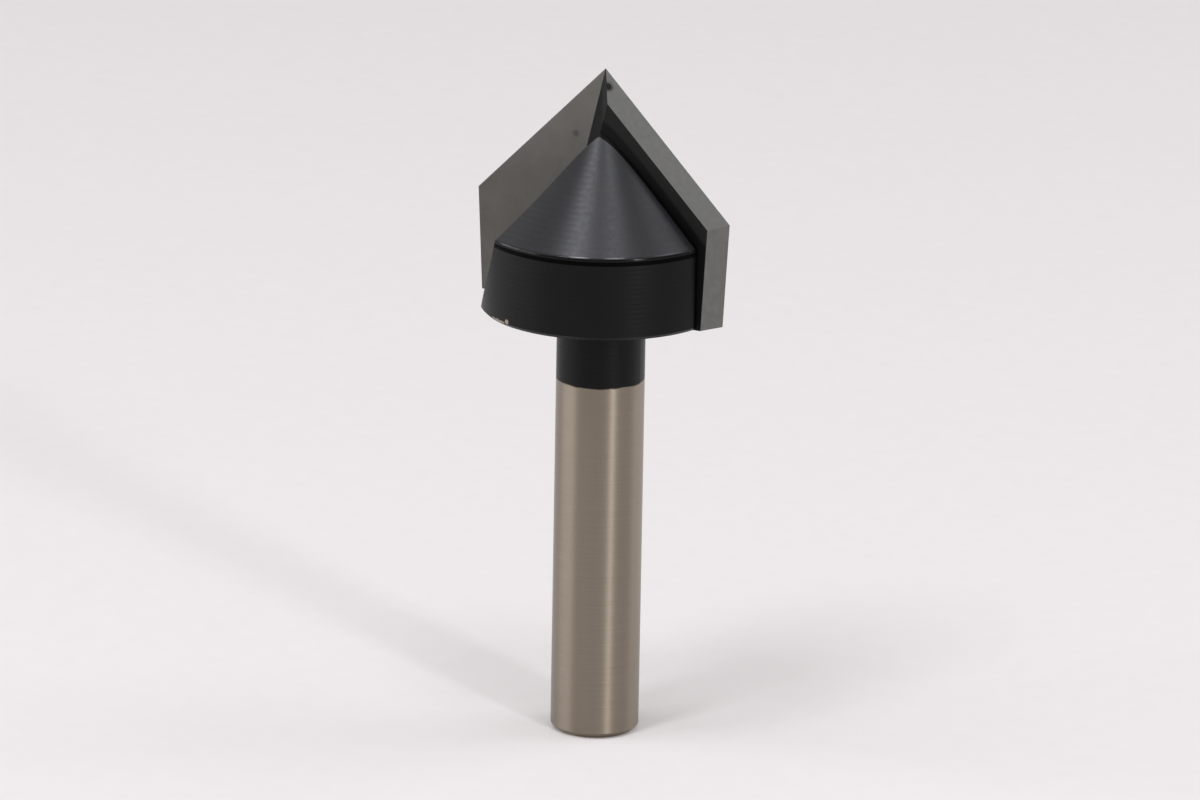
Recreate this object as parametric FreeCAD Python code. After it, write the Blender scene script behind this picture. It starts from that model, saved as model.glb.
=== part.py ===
import FreeCAD, Part
import math
import os

# V groove router bit: a turned steel body with a plain round shank, and two flat
# carbide tips brazed into seats on opposite sides of its head.
# Millimetres. +Z runs up the axis to the point, and the origin is the centre of the
# shank's end face. Tip A lies on the +X side and tip B is tip A turned half round.
# Seen from the point, the bit cuts while it turns counter-clockwise.

# Shank
shank_diameter = 8.0
shank_length = 39.5
shank_end_chamfer = 0.5

# Head of the body, measured up from the end of the shank
body_diameter = 21.8
body_wall_height = 7.5
body_cone_half_angle = 42.5
shank_root_fillet = 0.8
body_foot_chamfer = 0.3
body_shoulder_radius = 0.25

# Cutting edges
cutting_diameter = 25.4
groove_half_angle = 45.0
side_edge_height = 9.5
side_edge_taper = 3.0
groove_relief_angle = 22.0
side_relief_angle = 27.0

# Carbide tips
tip_thickness = 2.2
tip_foot_width = 5.7
tip_inner_reach = 2.5
tip_inner_depth = 6.0
braze_gap = 0.05
tip_face_proud = 0.2

# Gullets, the chip spaces in front of the tips
gullet_wall_angle = 48.5
gullet_wall_offset = 2.2
gullet_runout_radius = 20.0
gullet_runout_drop = 8.9
web_side_angle = 42.0
web_taper_angle = 10.1


Y_AXIS = FreeCAD.Vector(0, 1, 0)
Z_AXIS = FreeCAD.Vector(0, 0, 1)
ORIGIN = FreeCAD.Vector(0, 0, 0)

cutting_radius = cutting_diameter / 2
tip_foot_radius = cutting_radius - side_edge_height * math.tan(math.radians(side_edge_taper))
body_radius = body_diameter / 2
shank_radius = shank_diameter / 2
head_foot_z = shank_length
corner_z = head_foot_z + side_edge_height
point_z = corner_z + cutting_radius / math.tan(math.radians(groove_half_angle))
shoulder_z = head_foot_z + body_wall_height
cone_top_z = shoulder_z + body_radius / math.tan(math.radians(body_cone_half_angle))
POINT = FreeCAD.Vector(0, 0, point_z)

# A cutting solid reaches this far, past every corner of the bit.
reach = 2 * (point_z + cutting_diameter)


def half_space(point, outward):
    """A big block whose flat face passes through the point, on the outward side."""
    block = Part.makeBox(2 * reach, 2 * reach, reach, FreeCAD.Vector(-reach, -reach, 0))
    block.Placement = FreeCAD.Placement(point, FreeCAD.Rotation(Z_AXIS, outward))
    return block


def half_turned(shape):
    """The same shape turned half round the bit's axis."""
    turned = shape.copy()
    turned.rotate(ORIGIN, Z_AXIS, 180)
    return turned


def profile_point(radius, height):
    return FreeCAD.Vector(radius, 0, height)


def turned_blank():
    """The body as it leaves the lathe: shank, cylindrical wall and cone."""
    corners = [
        profile_point(0, 0),
        profile_point(shank_radius - shank_end_chamfer, 0),
        profile_point(shank_radius, shank_end_chamfer),
        profile_point(shank_radius, head_foot_z),
        profile_point(body_radius - body_foot_chamfer, head_foot_z),
        profile_point(body_radius, head_foot_z + body_foot_chamfer),
        profile_point(body_radius, shoulder_z),
        profile_point(0, cone_top_z),
    ]
    outline = Part.makePolygon(corners + corners[:1])
    blank = Part.Face(outline).revolve(ORIGIN, Z_AXIS, 360)
    blank = Part.Solid(Part.Shell(blank.Faces))
    blank = blank.makeFillet(shank_root_fillet, circles(blank, shank_radius, head_foot_z))
    return blank.makeFillet(body_shoulder_radius, circles(blank, body_radius, shoulder_z))


def circles(shape, radius, height):
    """The shape's round edges of this radius at this height."""
    tolerance = 1e-4
    found = []
    for edge in shape.Edges:
        curve = edge.Curve
        if not isinstance(curve, Part.Circle):
            continue
        same_size = abs(curve.Radius - radius) < tolerance
        same_height = abs(curve.Center.z - height) < tolerance
        if same_size and same_height:
            found.append(edge)
    return found


def web_side():
    """The sloping side of the web between the two gullets. It rises to the point,
    so it also gives each tip's inner end its clearance."""
    slope = math.radians(web_taper_angle)
    turn = math.radians(web_side_angle)
    outward = FreeCAD.Vector(
        -math.cos(turn) * math.cos(slope),
        -math.sin(turn) * math.cos(slope),
        math.sin(slope),
    )
    return half_space(POINT, outward)


def gullet():
    """The chip space in front of tip B: a wall that drops straight down from the
    point, then runs out through the side of the head on a round cutter's radius."""
    angle = math.radians(gullet_wall_angle)
    into_wall = FreeCAD.Vector(math.sin(angle), -math.cos(angle), 0)
    along_wall = FreeCAD.Vector(math.cos(angle), math.sin(angle), 0)
    runout_z = point_z - gullet_runout_drop

    def wall_point(depth, height):
        return into_wall * depth + Z_AXIS * height

    centre_depth = gullet_wall_offset - gullet_runout_radius
    halfway = math.radians(45)
    arc_middle = wall_point(
        centre_depth + gullet_runout_radius * math.cos(halfway),
        runout_z - gullet_runout_radius * math.sin(halfway),
    )
    arc_foot = wall_point(centre_depth, runout_z - gullet_runout_radius)
    wall_foot = wall_point(gullet_wall_offset, runout_z)
    wall_top = wall_point(gullet_wall_offset, point_z + cutting_diameter)
    far_top = wall_point(-reach, point_z + cutting_diameter)
    far_foot = wall_point(-reach, runout_z - gullet_runout_radius)
    section = Part.Wire([
        Part.makeLine(far_foot, arc_foot),
        Part.Arc(arc_foot, arc_middle, wall_foot).toShape(),
        Part.makeLine(wall_foot, wall_top),
        Part.makeLine(wall_top, far_top),
        Part.makeLine(far_top, far_foot),
    ])
    face = Part.Face(section)
    face.translate(along_wall * -reach)
    swept = face.extrude(along_wall * 2 * reach)
    floor = half_space(Y_AXIS * tip_face_proud, -Y_AXIS)
    return swept.common(floor).common(web_side())


def tip_outline(margin):
    """Tip A's flat outline in the XZ plane, moved outwards by the margin. A join of 2
    keeps its corners sharp."""
    inner_corner_z = point_z - tip_inner_depth
    corners = [
        profile_point(0, point_z),
        profile_point(cutting_radius, corner_z),
        profile_point(tip_foot_radius, head_foot_z),
        profile_point(tip_foot_radius - tip_foot_width, head_foot_z),
        profile_point(-tip_inner_reach, inner_corner_z),
    ]
    outline = Part.makePolygon(corners + corners[:1])
    if margin == 0:
        return outline
    return outline.makeOffset2D(margin, join=2)


def tip_blank(margin):
    """Tip A as a plain plate, with its cutting face on the XZ plane."""
    plate = Part.Face(tip_outline(margin)).extrude(Y_AXIS * -(tip_thickness + 2 * margin))
    plate.translate(Y_AXIS * margin)
    return plate


def relief(edge_point, outward_elevation, relief_angle):
    """What grinding takes off behind a cutting edge that faces outwards at this
    elevation, down to the relief angle."""
    elevation = math.radians(outward_elevation)
    edge_outward = FreeCAD.Vector(math.cos(elevation), 0, math.sin(elevation))
    lean = Y_AXIS * -math.tan(math.radians(relief_angle))
    return half_space(edge_point, edge_outward + lean)


def carbide_tip():
    """Tip A, with both cutting edges and its inner end ground back."""
    corner = profile_point(cutting_radius, corner_z)
    tip = tip_blank(0)
    tip = tip.cut(relief(corner, groove_half_angle, groove_relief_angle))
    tip = tip.cut(relief(corner, -side_edge_taper, side_relief_angle))
    return tip.cut(web_side())


def cutter_body():
    """The turned blank with both gullets milled and both tip seats cut."""
    body = turned_blank()
    seat = tip_blank(braze_gap)
    for tool in (gullet(), half_turned(gullet()), seat, half_turned(seat)):
        body = body.cut(tool)
    return body


def save(shape, name):
    solids = shape.Solids
    print(name, "solids", len(solids), "volume", round(shape.Volume, 1), "valid", shape.isValid())
    solids[0].exportStep("parts/" + name + ".step")


os.makedirs("parts", exist_ok=True)
tip_a = carbide_tip()
save(cutter_body(), "cutter_body")
save(tip_a, "carbide_tip_a")
save(half_turned(tip_a), "carbide_tip_b")
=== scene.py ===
# %% [markdown]
# # A V groove router bit
# This lesson dresses a finished CAD model of a router bit: a turned steel body with a
# black painted head and a bare ground shank, and two flat carbide tips brazed to the
# head. The CAD model is loaded as it is and never moved, because its sizes are already
# right. What is left is finish: paint, ground steel, sintered carbide and braze.

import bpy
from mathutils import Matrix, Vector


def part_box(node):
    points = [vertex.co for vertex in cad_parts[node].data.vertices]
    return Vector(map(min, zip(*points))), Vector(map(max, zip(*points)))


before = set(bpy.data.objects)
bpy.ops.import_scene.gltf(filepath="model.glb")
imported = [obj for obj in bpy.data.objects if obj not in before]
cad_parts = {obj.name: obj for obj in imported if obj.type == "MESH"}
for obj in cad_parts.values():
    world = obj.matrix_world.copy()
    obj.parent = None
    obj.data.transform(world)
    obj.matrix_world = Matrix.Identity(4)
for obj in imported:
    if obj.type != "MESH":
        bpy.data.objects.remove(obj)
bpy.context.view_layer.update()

# %% [markdown]
# ## Sizes to work from
# Everything in Blender is in metres, so a millimetre gets a short name. The heights on
# the bit come from the boxes of its CAD nodes, so the paint line and the chips stay
# where they belong if the bit is made longer. Only what the boxes cannot tell, such as
# how far the paint runs down the shank, is written here as a size of its own.

# %% Places on the bit
import math

import bmesh
import bpy
from mathutils import Matrix, Vector

MM = 0.001
HEAD_WALL = 7.5 * MM
CONE_HALF_ANGLE = math.radians(42.5)
PAINTED_NECK = 6.5 * MM

tip_low, tip_high = (Vector(corner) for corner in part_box("carbide_tip_a"))
point_z = tip_high.z
head_foot_z = tip_low.z
tip_thickness = -tip_low.y
body_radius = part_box("cutter_body")[1][1]
shoulder_z = head_foot_z + HEAD_WALL
cone_top_z = shoulder_z + body_radius / math.tan(CONE_HALF_ANGLE)
paint_line_z = head_foot_z - PAINTED_NECK
print("point at", round(point_z / MM, 2), "mm, paint line at", round(paint_line_z / MM, 2), "mm")

# %% [markdown]
# ## Small helpers
# Colours are picked as sRGB hex, the way a colour picker shows them, but a shader wants
# linear light, so one function converts them. A second one adds any shader node with its
# settings and links in a single call. That keeps each material readable as a recipe.
# Two more start a new material and put a finished one on a CAD node.
#
# A Mix node has its inputs once for each kind of data, all under the same names, so they
# are picked by number: one pair for colours and one for plain numbers.

# %% Colour and node helpers
MIX_A, MIX_B, MIX_RESULT = 6, 7, 2
MIX_LOW, MIX_HIGH = 2, 3


def linear(hex_colour):
    """A hex colour such as #1d1c1b as linear RGBA."""
    channels = [int(hex_colour[i:i + 2], 16) / 255 for i in (1, 3, 5)]
    curve = [c / 12.92 if c <= 0.04045 else ((c + 0.055) / 1.055) ** 2.4 for c in channels]
    return (*curve, 1.0)


def node(tree, kind, settings, links=None):
    """Adds a node. A setting or link is named by a property, an input's name or its number."""
    made = tree.nodes.new(kind)
    for name, value in settings.items():
        if isinstance(name, str) and hasattr(made, name):
            setattr(made, name, value)
        else:
            made.inputs[name].default_value = value
    for name, output in (links or {}).items():
        tree.links.new(output, made.inputs[name])
    return made


def new_material(name):
    """An empty node material with its output node."""
    material = bpy.data.materials.new(name)
    material.use_nodes = True
    material.node_tree.nodes.clear()
    output = node(material.node_tree, "ShaderNodeOutputMaterial", {})
    return material, material.node_tree, output


def dress(node_name, material):
    """Gives a CAD node's object one material in all its slots."""
    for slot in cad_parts[node_name].material_slots:
        slot.material = material
    print(node_name, "wears", material.name)


# %% [markdown]
# Masks are plain numbers from 0 to 1, so tiny functions make and join them. `near` is 1
# close to a chosen value, `above` is 1 over it, and `spot` is a soft spot round a place.
# `joined` and `times_plus` do sums with them. `blend_value` and `blend_colour` turn a
# mask into a number or a colour that changes with it. `noise` and `axis_distance` give
# the uneven values and the radius that some masks are made from.

# %% Mask helpers
CRISP = 0.02 * MM


def near(tree, value, middle, half_width):
    """1 where the value is within half a width of the middle."""
    return node(tree, "ShaderNodeMath", {"operation": "COMPARE", 1: middle, 2: half_width},
                {0: value}).outputs[0]


def above(tree, value, level, blend):
    """1 above the level and 0 below it, with a soft change as wide as the blend."""
    return node(tree, "ShaderNodeMapRange",
                {"From Min": level - blend / 2, "From Max": level + blend / 2},
                {"Value": value}).outputs[0]


def joined(tree, operation, first, second):
    """Both values put through one maths operation, such as MULTIPLY or MAXIMUM."""
    return node(tree, "ShaderNodeMath", {"operation": operation}, {0: first, 1: second}).outputs[0]


def times_plus(tree, value, factor, added):
    """The value times a plain number, plus another value."""
    return node(tree, "ShaderNodeMath", {"operation": "MULTIPLY_ADD", 1: factor},
                {0: value, 2: added}).outputs[0]


def blend_value(tree, mask, low, high):
    """A number that goes from low to high with the mask."""
    return node(tree, "ShaderNodeMapRange", {"To Min": low, "To Max": high},
                {"Value": mask}).outputs[0]


def blend_colour(tree, mask, first, second):
    """A colour that goes from the first to the second with the mask. Either may be a link."""
    settings, links = {"data_type": "RGBA"}, {0: mask}
    for socket, colour in ((MIX_A, first), (MIX_B, second)):
        if isinstance(colour, str):
            settings[socket] = linear(colour)
        else:
            links[socket] = colour
    return node(tree, "ShaderNodeMix", settings, links).outputs[MIX_RESULT]


def noise(tree, coordinates, size, detail):
    """Noise with features about as large as the size, from 0 to 1."""
    return node(tree, "ShaderNodeTexNoise", {"Scale": 1 / size, "Detail": detail},
                {"Vector": coordinates}).outputs["Fac"]


def axis_distance(tree, coordinates):
    """How far a place is from the bit's axis."""
    level = node(tree, "ShaderNodeVectorMath", {"operation": "MULTIPLY", 1: (1, 1, 0)},
                 {0: coordinates}).outputs[0]
    return node(tree, "ShaderNodeVectorMath", {"operation": "LENGTH"}, {0: level}).outputs["Value"]


def spot(tree, coordinates, middle, radius, strength):
    """The strength in a soft round spot of about this radius, and 0 around it."""
    away = node(tree, "ShaderNodeVectorMath", {"operation": "DISTANCE", 1: middle},
                {0: coordinates}).outputs["Value"]
    return node(tree, "ShaderNodeMapRange",
                {"From Min": 0.6 * radius, "From Max": 1.4 * radius,
                 "To Min": strength, "To Max": 0.0},
                {"Value": away}).outputs[0]


# %% [markdown]
# ## The body: black paint over turned steel, bare ground shank
# The head is sprayed in a semi-gloss black enamel that runs a little way down the shank
# and stops at a masked line. Under it are the rings that the lathe tool left. The shank
# is centreless ground: satin, with very fine lines round it. One material can hold both
# finishes, because a mask worked out from the height decides which one shows. That is
# simpler than cutting the mesh, and a CAD mesh must not be cut anyway.
#
# The paint is chipped at the foot's rim: one small speck and a thin ragged line beside
# it. Noise makes their edges ragged. For the line, the distance from its middle is
# measured with the two level directions squeezed, which stretches a round mark.

# %% Where the paint is
RIM_SPECK = Vector((-4.3 * MM, -10.0 * MM, head_foot_z + 0.5 * MM))
RIM_LINE = Vector((-5.6 * MM, -9.3 * MM, head_foot_z + 0.3 * MM))
RIM_SPECK_SIZE = 0.5 * MM
RIM_LINE_SIZE = 0.36 * MM
CHIP_GRAIN = 0.3 * MM
WANDER_LENGTH = 1.7 * MM
LINE_WANDER = 0.35 * MM
WANDER_MIDDLE = 0.17 * MM
PAINT_EDGE = 0.1 * MM
ROUND = (1.0, 1.0, 1.0)
LONG = (0.16, 0.16, 1.0)


def chip_mask(tree, coordinates, middle, squeeze, size):
    """0 in a ragged chip about as large as the size, and 1 around it."""
    offset = node(tree, "ShaderNodeVectorMath", {"operation": "SUBTRACT", 1: middle},
                  {0: coordinates}).outputs[0]
    squeezed = node(tree, "ShaderNodeVectorMath", {"operation": "MULTIPLY", 1: squeeze},
                    {0: offset}).outputs[0]
    away = node(tree, "ShaderNodeVectorMath", {"operation": "LENGTH"}, {0: squeezed})
    ragged = noise(tree, coordinates, CHIP_GRAIN, 2.0)
    reach = times_plus(tree, ragged, 0.6 * size, away.outputs["Value"])
    return above(tree, reach, 0.75 * size, 0.1 * size)


def paint_mask(tree, coordinates, height):
    """1 on paint and 0 on bare steel: above the masked line, apart from the chips."""
    wobble = noise(tree, coordinates, WANDER_LENGTH, 3.0)
    edge = times_plus(tree, wobble, LINE_WANDER, height)
    painted = above(tree, edge, paint_line_z + WANDER_MIDDLE, PAINT_EDGE)
    speck = chip_mask(tree, coordinates, RIM_SPECK, ROUND, RIM_SPECK_SIZE)
    line = chip_mask(tree, coordinates, RIM_LINE, LONG, RIM_LINE_SIZE)
    return joined(tree, "MULTIPLY", painted, joined(tree, "MULTIPLY", speck, line))


# %% [markdown]
# Shade is painted dark and dull in two places: in the corner between the back of each tip
# and the head, where braze also lies under the paint, and in a thin line just under the cone.
# Behind tip A, Y is negative and X positive, and behind tip B it is the other way round,
# so Y times the sign of X measures the depth behind either tip.

# %% Where shade is painted
CORNER_WIDTH = 0.3 * MM
LINE_DROP = 0.42 * MM
LINE_HALF_WIDTH = 0.2 * MM


def painted_shade_mask(tree, axes, on_wall):
    """1 where shade is painted: in the corners behind the tips and in the line under the cone."""
    side = node(tree, "ShaderNodeMath", {"operation": "SIGN"}, {0: axes.outputs["X"]}).outputs[0]
    depth = joined(tree, "MULTIPLY", axes.outputs["Y"], side)
    corner = near(tree, depth, -tip_thickness - CORNER_WIDTH / 2, CORNER_WIDTH / 2)
    on_head = above(tree, axes.outputs["Z"], head_foot_z, CRISP)
    line = near(tree, axes.outputs["Z"], shoulder_z - LINE_DROP, LINE_HALF_WIDTH)
    return joined(tree, "MAXIMUM", joined(tree, "MULTIPLY", corner, on_head),
                  joined(tree, "MULTIPLY", line, on_wall))


# %% [markdown]
# A wave texture in bands repeats every 0.314 of its own units, so the scale for a real
# pitch is 0.314 divided by that pitch. True feed marks are about 0.15 mm apart. They are
# drawn at 0.45 mm here, because anything finer is lost between the picture's pixels.

# %% Rings left by the lathe
WAVE_PERIOD = 2 * math.pi / 20
RING_PITCH = 0.45 * MM


def lathe_rings(tree, coordinates):
    """Soft uneven rings round the axis, from 0 to 1."""
    rings = node(tree, "ShaderNodeTexWave",
                 {"bands_direction": "Z", "Scale": WAVE_PERIOD / RING_PITCH, "Distortion": 0.6,
                  "Detail": 2.0, "Detail Scale": 0.2},
                 {"Vector": coordinates})
    return rings.outputs["Fac"]


# %% [markdown]
# Fine lines round a cylinder are a noise that changes quickly along the axis and slowly
# around it. Squeezing the coordinates in X and Y before the noise does that.

# %% Grinding lines
GRIND_PITCH = 0.12 * MM
DRAWN_ROUND = (0.03, 0.03, 1.0)


def ground_lines(tree, coordinates):
    """Fine lines round the shank, from 0 to 1."""
    squeezed = node(tree, "ShaderNodeVectorMath", {"operation": "MULTIPLY", 1: DRAWN_ROUND},
                    {0: coordinates})
    lines = node(tree, "ShaderNodeTexNoise", {"Scale": 1 / GRIND_PITCH, "Detail": 3.0},
                 {"Vector": squeezed.outputs[0]})
    return lines.outputs["Fac"]


# %% [markdown]
# Paint is a dielectric and steel is a metal, so Metallic follows the mask as well as
# colour and roughness. The paint on the cone and the top is a lighter grey than on the
# wall: painted light on the cone and painted shade on the wall. It is also set to reflect
# more there than on the wall of the head. The turning and grinding marks run round the
# axis, which spreads a reflection along the axis and keeps it narrow across. Without a UV
# map the shader's own tangent runs round Z, so Anisotropic Rotation turns it a quarter.

# %% Body material
QUARTER_TURN = 0.25
STAIN_SIZE = 6.0 * MM
ENAMEL_GRAIN = 0.4 * MM
WALL_SKIN = 0.04 * MM
FOOT_EDGE = 0.35 * MM
FOOT_BLEND = 0.05 * MM
SHOULDER_HALF_HEIGHT = 0.15 * MM
SHOULDER_DEPTH = 0.35 * MM
FILM_THICKNESS = 0.05 * MM
MARK_DEPTH = 0.015 * MM
GRAIN_DEPTH = 0.01 * MM


def body_material():
    """Semi-gloss black enamel on the head, satin ground steel on the shank."""
    material, tree, output = new_material("black_enamel_over_ground_steel")
    place = node(tree, "ShaderNodeTexCoord", {}).outputs["Object"]
    axes = node(tree, "ShaderNodeSeparateXYZ", {}, {0: place})
    height = axes.outputs["Z"]
    painted = paint_mask(tree, place, height)
    radius = axis_distance(tree, place)
    on_wall = above(tree, radius, body_radius - WALL_SKIN, CRISP)
    painted_shade = painted_shade_mask(tree, axes, on_wall)
    over_foot = above(tree, height, head_foot_z + FOOT_EDGE, FOOT_BLEND)
    lit_cone = joined(tree, "MULTIPLY", over_foot, blend_value(tree, on_wall, 1.0, 0.0))
    rings = lathe_rings(tree, place)
    lines = ground_lines(tree, place)
    cloud = noise(tree, place, STAIN_SIZE, 4.0)
    grain = noise(tree, place, ENAMEL_GRAIN, 2.0)

    # Painted light: the cone and top get a lighter grey paint and the wall a darker one, as lit
    # and shaded copies of one enamel.
    shaded_wall_paint = blend_colour(tree, cloud, "#080807", "#10100f")
    lit_cone_paint = blend_colour(tree, cloud, "#18181b", "#222226")
    unshaded_paint = blend_colour(tree, lit_cone, shaded_wall_paint, lit_cone_paint)
    # Painted shade: near black paint in the corners behind the tips and in the line under the
    # cone.
    paint_colour = blend_colour(tree, painted_shade, unshaded_paint, "#050505")
    ground_steel = blend_colour(tree, lines, "#796e60", "#938a7e")
    steel_colour = blend_colour(tree, cloud, ground_steel, "#877d70")
    colour = blend_colour(tree, painted, steel_colour, paint_colour)

    steel_rough = blend_value(tree, lines, 0.3, 0.42)
    shoulder = joined(tree, "MULTIPLY", near(tree, height, shoulder_z, SHOULDER_HALF_HEIGHT),
                      above(tree, radius, body_radius - SHOULDER_DEPTH, CRISP))
    paint_rough = joined(tree, "MULTIPLY", blend_value(tree, grain, 0.32, 0.44),
                         blend_value(tree, shoulder, 1.0, 0.5))
    rough = node(tree, "ShaderNodeMix", {"data_type": "FLOAT"},
                 {0: painted, MIX_LOW: steel_rough, MIX_HIGH: paint_rough}).outputs[0]
    metal = blend_value(tree, painted, 1.0, 0.0)
    # The painted shade also takes away most of the reflection there.
    clear = blend_value(tree, painted_shade, 1.0, 0.15)
    shine = joined(tree, "MULTIPLY", blend_value(tree, lit_cone, 0.12, 0.5), clear)

    marks = node(tree, "ShaderNodeMix", {"data_type": "FLOAT"},
                 {0: painted, MIX_LOW: lines, MIX_HIGH: rings}).outputs[0]
    film_step = node(tree, "ShaderNodeBump", {"Strength": 0.5, "Distance": FILM_THICKNESS},
                     {"Height": painted}).outputs[0]
    turned = node(tree, "ShaderNodeBump", {"Strength": 0.35, "Distance": MARK_DEPTH},
                  {"Height": marks, "Normal": film_step}).outputs[0]
    skin = node(tree, "ShaderNodeBump", {"Strength": 0.25, "Distance": GRAIN_DEPTH},
                {"Height": grain, "Normal": turned}).outputs[0]
    drawn_out = blend_value(tree, painted, 0.75, 0.4)
    shader = node(tree, "ShaderNodeBsdfPrincipled", {"Anisotropic Rotation": QUARTER_TURN},
                  {"Base Color": colour, "Roughness": rough, "Metallic": metal,
                   "Specular IOR Level": shine, "Anisotropic": drawn_out, "Normal": skin})
    tree.links.new(shader.outputs[0], output.inputs["Surface"])
    return material


dress("cutter_body", body_material())

# %% [markdown]
# ## The tips: sintered tungsten carbide, ground at the edges
# Cemented carbide is pressed and sintered to a matte dark grey with a very fine grain,
# then ground with a diamond wheel where it cuts, which leaves it paler and brighter. The
# plate's faces can be told apart by depth: the cutting face lies on the plane through
# the axis, the back face a plate's thickness behind it, and the ground faces between.
# The back face and the inner end are under the same black paint as the body. The inner
# end lies on the web's sloping side, a plane through the point, so the distance from
# that plane finds it. Braze fills the corner between the back face and the head, and the
# paint there is drawn darker, as painted shade in that corner over the braze, so the
# distance from the head's cone and wall is worked out too.

# %% Carbide material
FACE_SKIN = 0.02 * MM
WEB_SIDE_ANGLE = math.radians(42.0)
WEB_TAPER_ANGLE = math.radians(10.1)
SEAM_WIDTH = 0.8 * MM
SEAM_BLEND = 0.2 * MM
CLOUD_SIZE = 2.5 * MM
PALE_REACH = 12 * MM
SPECK = Vector((-2.9 * MM, 0.0, point_z - 6.4 * MM))
SPECK_RADIUS = 0.3 * MM
# A near-black spot just under the point is painted shade in the recess there.
NOTCH_SHADE = Vector((0.79 * MM, -0.99 * MM, point_z - 1.35 * MM))
NOTCH_SHADE_RADIUS = 0.45 * MM
CARBIDE_GRAIN = 0.3 * MM
SCRATCH_SIZE = 0.55 * MM
SCRATCH_DEPTH = 0.008 * MM


def inner_end_mask(tree, coordinates, side):
    """1 on the sloping inner end of the tip on this side."""
    level = math.cos(WEB_TAPER_ANGLE)
    outward = Vector((-side * math.cos(WEB_SIDE_ANGLE) * level,
                      -side * math.sin(WEB_SIDE_ANGLE) * level, math.sin(WEB_TAPER_ANGLE)))
    along = node(tree, "ShaderNodeVectorMath", {"operation": "DOT_PRODUCT", 1: outward},
                 {0: coordinates}).outputs["Value"]
    return near(tree, along, outward.z * point_z, FACE_SKIN)


def outside_head(tree, coordinates, height):
    """How far a place is outside the head's cone and wall."""
    radius = axis_distance(tree, coordinates)
    lean = math.sin(CONE_HALF_ANGLE)
    rise = node(tree, "ShaderNodeMath",
                {"operation": "MULTIPLY_ADD", 1: lean, 2: -cone_top_z * lean},
                {0: height}).outputs[0]
    from_cone = times_plus(tree, radius, math.cos(CONE_HALF_ANGLE), rise)
    from_wall = node(tree, "ShaderNodeMath", {"operation": "SUBTRACT", 1: body_radius},
                     {0: radius}).outputs[0]
    return joined(tree, "MAXIMUM", from_cone, from_wall)


def rake_colour(tree, coordinates, height):
    """Matte sintered grey, clouded, a little paler towards the point, with one dark speck."""
    cloud = noise(tree, coordinates, CLOUD_SIZE, 5.0)
    matte = blend_colour(tree, cloud, "#53514d", "#64625d")
    pale = blend_colour(tree, cloud, "#615f5b", "#73716c")
    upper = above(tree, height, point_z - PALE_REACH / 2, PALE_REACH)
    face = blend_colour(tree, upper, matte, pale)
    return blend_colour(tree, spot(tree, coordinates, SPECK, SPECK_RADIUS, 0.6), face, "#3c3a37")


def carbide_material(name, side):
    """Carbide for the tip on this side: 1 for the tip at +X and -1 for the one at -X."""
    material, tree, output = new_material(name)
    place = node(tree, "ShaderNodeTexCoord", {}).outputs["Object"]
    axes = node(tree, "ShaderNodeSeparateXYZ", {}, {0: place})
    depth = node(tree, "ShaderNodeMath", {"operation": "MULTIPLY", 1: -side},
                 {0: axes.outputs["Y"]}).outputs[0]
    ground = above(tree, depth, 1.5 * FACE_SKIN, FACE_SKIN)
    back = above(tree, depth, tip_thickness - 1.5 * FACE_SKIN, FACE_SKIN)
    covered = joined(tree, "MAXIMUM", back, inner_end_mask(tree, place, side))
    # The spot just under the point is painted shade, in the same dark colour as the paint.
    painted = joined(tree, "MAXIMUM", covered, spot(tree, place, NOTCH_SHADE, NOTCH_SHADE_RADIUS, 1.0))
    grain = noise(tree, place, CARBIDE_GRAIN, 2.0)
    scratches = noise(tree, place, SCRATCH_SIZE, 5.0)

    height = axes.outputs["Z"]
    edge_colour = blend_colour(tree, scratches, "#5f5f5b", "#757471")
    bare = blend_colour(tree, ground, rake_colour(tree, place, height), edge_colour)
    # Painted shade: the paint near the head is near black, in the corner over the braze.
    free = above(tree, outside_head(tree, place, height), SEAM_WIDTH, SEAM_BLEND)
    colour = blend_colour(tree, painted, bare, blend_colour(tree, free, "#050505", "#181817"))

    sintered_rough = blend_value(tree, grain, 0.5, 0.66)
    ground_rough = blend_value(tree, scratches, 0.34, 0.48)
    rough = node(tree, "ShaderNodeMix", {"data_type": "FLOAT"},
                 {0: ground, MIX_LOW: sintered_rough, MIX_HIGH: ground_rough}).outputs[0]
    metal = blend_value(tree, painted, 0.85, 0.0)
    shine = blend_value(tree, painted, 0.5, 0.1)
    marks = node(tree, "ShaderNodeMix", {"data_type": "FLOAT"},
                 {0: ground, MIX_LOW: grain, MIX_HIGH: scratches}).outputs[0]
    skin = node(tree, "ShaderNodeBump", {"Strength": 0.3, "Distance": SCRATCH_DEPTH},
                {"Height": marks}).outputs[0]
    shader = node(tree, "ShaderNodeBsdfPrincipled", {},
                  {"Base Color": colour, "Roughness": rough, "Metallic": metal,
                   "Specular IOR Level": shine, "Normal": skin})
    tree.links.new(shader.outputs[0], output.inputs["Surface"])
    return material


dress("carbide_tip_a", carbide_material("ground_carbide_a", 1))
dress("carbide_tip_b", carbide_material("ground_carbide_b", -1))

# %% [markdown]
# ## Floor
# The bit stands on its shank on a plain pale floor. The floor is wide enough to fill any
# view from above, and its colour alone makes it pale, so the bit's shadow stays.

# %% Pale floor
FLOOR_HALF_WIDTH = 1.5
FIBRE_SIZE = 2.5 * MM


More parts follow.
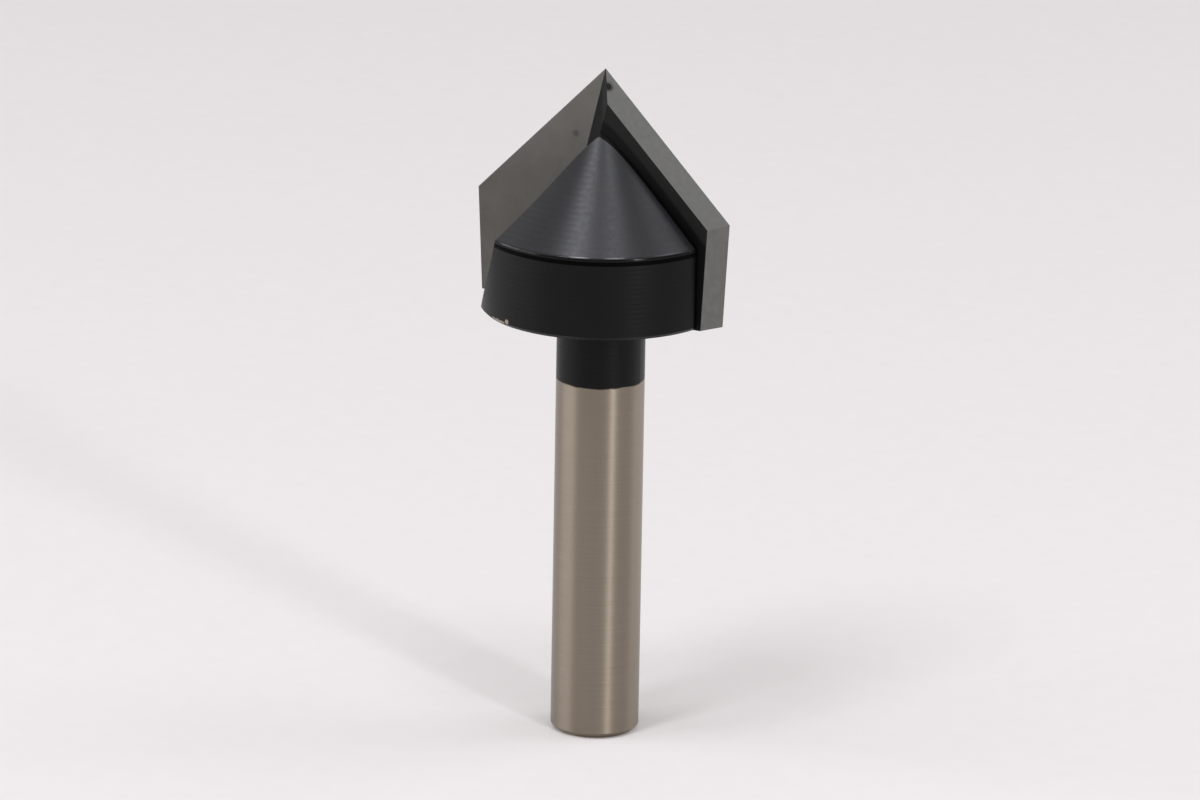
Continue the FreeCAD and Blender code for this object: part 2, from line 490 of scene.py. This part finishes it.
def pale_floor():
    """A wide plain sheet that the shank's end stands on."""
    mesh = bpy.data.meshes.new("floor")
    sheet = bmesh.new()
    bmesh.ops.create_grid(sheet, x_segments=1, y_segments=1, size=FLOOR_HALF_WIDTH)
    sheet.to_mesh(mesh)
    sheet.free()
    floor = bpy.data.objects.new("floor", mesh)
    bpy.context.collection.objects.link(floor)
    material, tree, output = new_material("pale_paper")
    place = node(tree, "ShaderNodeTexCoord", {}).outputs["Object"]
    fibres = noise(tree, place, FIBRE_SIZE, 2.0)
    colour = blend_colour(tree, fibres, "#ebe6e4", "#efeae8")
    shader = node(tree, "ShaderNodeBsdfPrincipled", {"Roughness": 0.8}, {"Base Color": colour})
    tree.links.new(shader.outputs[0], output.inputs["Surface"])
    mesh.materials.append(material)
    return floor


pale_floor()

# %% [markdown]
# ## Lamps and world
# A small shiny part shows its surroundings more than its own colour. One lamp high on
# the left draws the bright streak down the cone, a weaker one in front draws the second,
# and one on the right lights the ground edge. Three low ones shape the shank: a wide
# card on the left draws its light band, a strip at the right front its thin bright line,
# and a card behind on the right its light far edge. All six stand well away, so that
# they light the floor evenly. The world between them is a plain grey, so the shank gets
# darker bands too, and looks round.

# %% Lamps
COOL_WHITE = "#f8f9ff"
LAMP_DISTANCE = 0.9
HALFWAY = Vector((0, 0, point_z / 2))


def lamp(name, azimuth, elevation, size, power):
    """A soft rectangular lamp that looks at the bit. Azimuth counts from the -Y side."""
    data = bpy.data.lights.new(name, "AREA")
    data.shape = "RECTANGLE"
    data.size, data.size_y = size
    data.energy = power
    data.color = linear(COOL_WHITE)[:3]
    turn, lift = math.radians(azimuth), math.radians(elevation)
    level = math.cos(lift)
    away = Vector((math.sin(turn) * level, -math.cos(turn) * level, math.sin(lift)))
    aim = away.to_track_quat("Z", "Y").to_matrix().to_4x4()
    made = bpy.data.objects.new(name, data)
    made.matrix_world = Matrix.Translation(HALFWAY + away * LAMP_DISTANCE) @ aim
    bpy.context.collection.objects.link(made)


lamp("left_softbox", -14, 60, (0.135, 0.45), 2.25)
lamp("front_softbox", 50, 68, (0.15, 0.3), 1.0)
lamp("right_softbox", 120, 48, (0.21, 0.45), 0.63)
lamp("low_left_card", -60, 13, (0.75, 0.3), 4.5)
lamp("low_right_card", 142, 13, (0.6, 0.3), 2.36)
lamp("low_strip", 61, 14, (0.09, 0.33), 2.7)

# %% World
WORLD_GREY = "#bcbcbc"
WORLD_STRENGTH = 0.85


def plain_world():
    """An even grey all round."""
    world = bpy.data.worlds.new("studio")
    bpy.context.scene.world = world
    world.use_nodes = True
    world.node_tree.nodes["Background"].inputs["Color"].default_value = linear(WORLD_GREY)
    world.node_tree.nodes["Background"].inputs["Strength"].default_value = WORLD_STRENGTH


plain_world()

# %% [markdown]
# ## Camera
# The camera looks at the bit from the photograph's side: turned to the right from
# straight before the left tip's face, and somewhat above. A long lens far away keeps the
# edges parallel. The bit leans a little to the right in the picture, so the camera is
# rolled by that much.

# %% Camera
VIEW_AZIMUTH = 27.5
VIEW_ELEVATION = 16.5
VIEW_ROLL = 1.0
VIEW_DISTANCE = 0.95
FRAME_HEIGHT = 72 * MM
PICTURE_WIDTH, PICTURE_HEIGHT = 1200, 800
NEAREST_SEEN = 10 * MM


def photograph_camera():
    """A long lens at the photograph's angle, framed on the whole bit."""
    data = bpy.data.cameras.new("camera")
    camera = bpy.data.objects.new("camera", data)
    bpy.context.collection.objects.link(camera)
    turn, lift = math.radians(VIEW_AZIMUTH), math.radians(VIEW_ELEVATION)
    level = math.cos(lift)
    back = Vector((math.sin(turn) * level, -math.cos(turn) * level, math.sin(lift)))
    roll = Matrix.Rotation(math.radians(VIEW_ROLL), 4, "Z")
    aim = back.to_track_quat("Z", "Y").to_matrix().to_4x4()
    camera.matrix_world = Matrix.Translation(HALFWAY + back * VIEW_DISTANCE) @ aim @ roll
    frame_width = FRAME_HEIGHT * PICTURE_WIDTH / PICTURE_HEIGHT
    data.lens = data.sensor_width * VIEW_DISTANCE / frame_width
    data.clip_start = NEAREST_SEEN
    bpy.context.scene.camera = camera
    print("lens", round(data.lens), "mm")


photograph_camera()
bpy.context.scene.view_settings.view_transform = "Standard"
